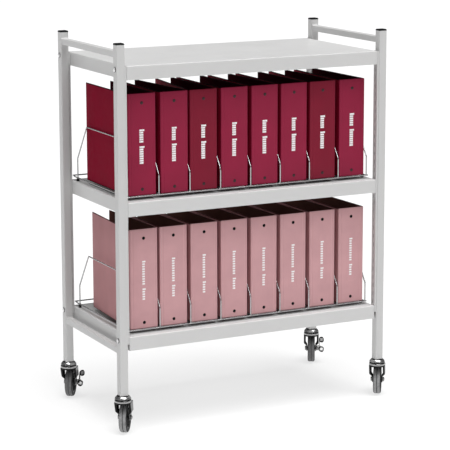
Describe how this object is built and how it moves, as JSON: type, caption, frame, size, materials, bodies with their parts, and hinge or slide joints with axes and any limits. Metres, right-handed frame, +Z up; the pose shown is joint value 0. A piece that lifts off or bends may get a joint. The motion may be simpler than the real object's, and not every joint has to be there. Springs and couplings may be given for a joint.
{
  "type": "book cart",
  "caption": "Mobile book cart: square-tube frame on swivel casters, folded shelves, wire racks of ring binders, push rails at the ends.",
  "frame": {"origin": "on the floor, under the middle of the box that holds the whole cart with its casters trailing as stored", "axes": "+X along the cart's length to its right-hand end, +Y to the back (binders face -Y), +Z up"},
  "size_m": [0.9363, 0.4996, 1.13],
  "materials": {
    "frame_paint": "light grey powder coat, satin",
    "shelf_paint": "light grey powder coat, satin",
    "cap_plastic": "black moulded plastic",
    "fastener_steel": "zinc-plated steel",
    "rack_chrome": "bright chrome-plated wire",
    "foot_rubber": "black rubber",
    "caster_zinc": "bright zinc plate",
    "tyre_rubber": "grey non-marking rubber",
    "hub_plastic": "black moulded plastic",
    "axle_steel": "zinc-plated steel",
    "lever_steel": "zinc-plated pressed steel",
    "binder_burgundy": "burgundy vinyl",
    "binder_rose": "dusty rose vinyl",
    "ring_metal": "nickel-plated ring mechanism",
    "rivet_dark": "dark painted rivet heads",
    "spine_mark": "white printed bars"
  },
  "bodies": {
    "frame": {"handle_rail_left": "frame_paint", "cross_rail_left": "frame_paint", "post_front_left": "frame_paint", "shelf_standard_front_left": "frame_paint", "post_rear_left": "frame_paint", "shelf_standard_rear_left": "frame_paint", "handle_rail_right": "frame_paint", "cross_rail_right": "frame_paint", "post_front_right": "frame_paint", "shelf_standard_front_right": "frame_paint", "post_rear_right": "frame_paint", "shelf_standard_rear_right": "frame_paint", "shelf_bottom": "shelf_paint", "shelf_middle": "shelf_paint", "shelf_top": "shelf_paint", "post_caps": "cap_plastic", "shelf_bolts": "fastener_steel", "shelf_nuts": "fastener_steel", "shelf_clips": "fastener_steel", "rack_upper": "rack_chrome", "rack_lower": "rack_chrome", "rack_feet": "foot_rubber", "caster_socket_front_left": "caster_zinc", "caster_socket_front_right": "caster_zinc", "caster_socket_rear_left": "caster_zinc", "caster_socket_rear_right": "caster_zinc"},
    "swivel_front_left": {"caster_fork_front_left": "caster_zinc", "caster_axle_front_left": "axle_steel"},
    "wheel_front_left": {"caster_tyre_front_left": "tyre_rubber", "caster_hub_front_left": "hub_plastic"},
    "swivel_front_right": {"caster_fork_front_right": "caster_zinc", "caster_axle_front_right": "axle_steel"},
    "wheel_front_right": {"caster_tyre_front_right": "tyre_rubber", "caster_hub_front_right": "hub_plastic"},
    "swivel_rear_left": {"caster_fork_rear_left": "caster_zinc", "caster_axle_rear_left": "axle_steel"},
    "wheel_rear_left": {"caster_tyre_rear_left": "tyre_rubber", "caster_hub_rear_left": "hub_plastic"},
    "brake_rear_left": {"brake_lever_rear_left": "lever_steel"},
    "swivel_rear_right": {"caster_fork_rear_right": "caster_zinc", "caster_axle_rear_right": "axle_steel"},
    "wheel_rear_right": {"caster_tyre_rear_right": "tyre_rubber", "caster_hub_rear_right": "hub_plastic"},
    "brake_rear_right": {"brake_lever_rear_right": "lever_steel"},
    "binder_upper_1": {"binder_upper_1": "binder_burgundy"},
    "binder_upper_2": {"binder_upper_2": "binder_burgundy"},
    "binder_upper_3": {"binder_upper_3": "binder_burgundy"},
    "binder_upper_4": {"binder_upper_4": "binder_burgundy"},
    "binder_upper_5": {"binder_upper_5": "binder_burgundy"},
    "binder_upper_6": {"binder_upper_6": "binder_burgundy"},
    "binder_upper_7": {"binder_upper_7": "binder_burgundy"},
    "binder_upper_8": {"binder_upper_8": "binder_burgundy"},
    "binder_lower_1": {"binder_lower_1": "binder_rose"},
    "binder_lower_2": {"binder_lower_2": "binder_rose"},
    "binder_lower_3": {"binder_lower_3": "binder_rose"},
    "binder_lower_4": {"binder_lower_4": "binder_rose"},
    "binder_lower_5": {"binder_lower_5": "binder_rose"},
    "binder_lower_6": {"binder_lower_6": "binder_rose"},
    "binder_lower_7": {"binder_lower_7": "binder_rose"},
    "binder_lower_8": {"binder_lower_8": "binder_rose"}
  },
  "joints": [
    {"name": "swivel_front_left", "type": "hinge", "parent": "frame", "child": "swivel_front_left", "pos_m": [-0.4418, -0.2253, 0.1], "axis": [0, 0, 1], "continuous": true},
    {"name": "roll_front_left", "type": "hinge", "parent": "swivel_front_left", "child": "wheel_front_left", "pos_m": [-0.42586, -0.20228, 0.0445], "axis": [0.8221, -0.5693, 0], "continuous": true},
    {"name": "swivel_front_right", "type": "hinge", "parent": "frame", "child": "swivel_front_right", "pos_m": [0.4102, -0.2253, 0.1], "axis": [0, 0, 1], "continuous": true},
    {"name": "roll_front_right", "type": "hinge", "parent": "swivel_front_right", "child": "wheel_front_right", "pos_m": [0.42614, -0.20228, 0.0445], "axis": [0.8221, -0.5693, 0], "continuous": true},
    {"name": "swivel_rear_left", "type": "hinge", "parent": "frame", "child": "swivel_rear_left", "pos_m": [-0.4418, 0.1831, 0.1], "axis": [0, 0, 1], "continuous": true},
    {"name": "roll_rear_left", "type": "hinge", "parent": "swivel_rear_left", "child": "wheel_rear_left", "pos_m": [-0.42635, 0.20645, 0.0445], "axis": [0.8339, -0.5519, 0], "continuous": true},
    {"name": "brake_rear_left", "type": "hinge", "parent": "swivel_rear_left", "child": "brake_rear_left", "pos_m": [-0.42635, 0.20645, 0.0445], "axis": [-0.8339, 0.5519, 0], "range_deg": [0, 24]},
    {"name": "swivel_rear_right", "type": "hinge", "parent": "frame", "child": "swivel_rear_right", "pos_m": [0.4102, 0.1831, 0.1], "axis": [0, 0, 1], "continuous": true},
    {"name": "roll_rear_right", "type": "hinge", "parent": "swivel_rear_right", "child": "wheel_rear_right", "pos_m": [0.42407, 0.20742, 0.0445], "axis": [0.8686, -0.4955, 0], "continuous": true},
    {"name": "brake_rear_right", "type": "hinge", "parent": "swivel_rear_right", "child": "brake_rear_right", "pos_m": [0.42407, 0.20742, 0.0445], "axis": [-0.8686, 0.4955, 0], "range_deg": [0, 24]},
    {"name": "slide_binder_upper_1", "type": "slide", "parent": "frame", "child": "binder_upper_1", "axis": [0, -1, 0], "range_m": [-0.08, 0.31]},
    {"name": "slide_binder_upper_2", "type": "slide", "parent": "frame", "child": "binder_upper_2", "axis": [0, -1, 0], "range_m": [-0.08, 0.31]},
    {"name": "slide_binder_upper_3", "type": "slide", "parent": "frame", "child": "binder_upper_3", "axis": [0, -1, 0], "range_m": [-0.08, 0.31]},
    {"name": "slide_binder_upper_4", "type": "slide", "parent": "frame", "child": "binder_upper_4", "axis": [0, -1, 0], "range_m": [-0.08, 0.31]},
    {"name": "slide_binder_upper_5", "type": "slide", "parent": "frame", "child": "binder_upper_5", "axis": [0, -1, 0], "range_m": [-0.08, 0.31]},
    {"name": "slide_binder_upper_6", "type": "slide", "parent": "frame", "child": "binder_upper_6", "axis": [0, -1, 0], "range_m": [-0.08, 0.31]},
    {"name": "slide_binder_upper_7", "type": "slide", "parent": "frame", "child": "binder_upper_7", "axis": [0, -1, 0], "range_m": [-0.08, 0.31]},
    {"name": "slide_binder_upper_8", "type": "slide", "parent": "frame", "child": "binder_upper_8", "axis": [0, -1, 0], "range_m": [-0.08, 0.31]},
    {"name": "slide_binder_lower_1", "type": "slide", "parent": "frame", "child": "binder_lower_1", "axis": [0, -1, 0], "range_m": [-0.08, 0.31]},
    {"name": "slide_binder_lower_2", "type": "slide", "parent": "frame", "child": "binder_lower_2", "axis": [0, -1, 0], "range_m": [-0.08, 0.31]},
    {"name": "slide_binder_lower_3", "type": "slide", "parent": "frame", "child": "binder_lower_3", "axis": [0, -1, 0], "range_m": [-0.08, 0.31]},
    {"name": "slide_binder_lower_4", "type": "slide", "parent": "frame", "child": "binder_lower_4", "axis": [0, -1, 0], "range_m": [-0.08, 0.31]},
    {"name": "slide_binder_lower_5", "type": "slide", "parent": "frame", "child": "binder_lower_5", "axis": [0, -1, 0], "range_m": [-0.08, 0.31]},
    {"name": "slide_binder_lower_6", "type": "slide", "parent": "frame", "child": "binder_lower_6", "axis": [0, -1, 0], "range_m": [-0.08, 0.31]},
    {"name": "slide_binder_lower_7", "type": "slide", "parent": "frame", "child": "binder_lower_7", "axis": [0, -1, 0], "range_m": [-0.08, 0.31]},
    {"name": "slide_binder_lower_8", "type": "slide", "parent": "frame", "child": "binder_lower_8", "axis": [0, -1, 0], "range_m": [-0.08, 0.31]}
  ]
}
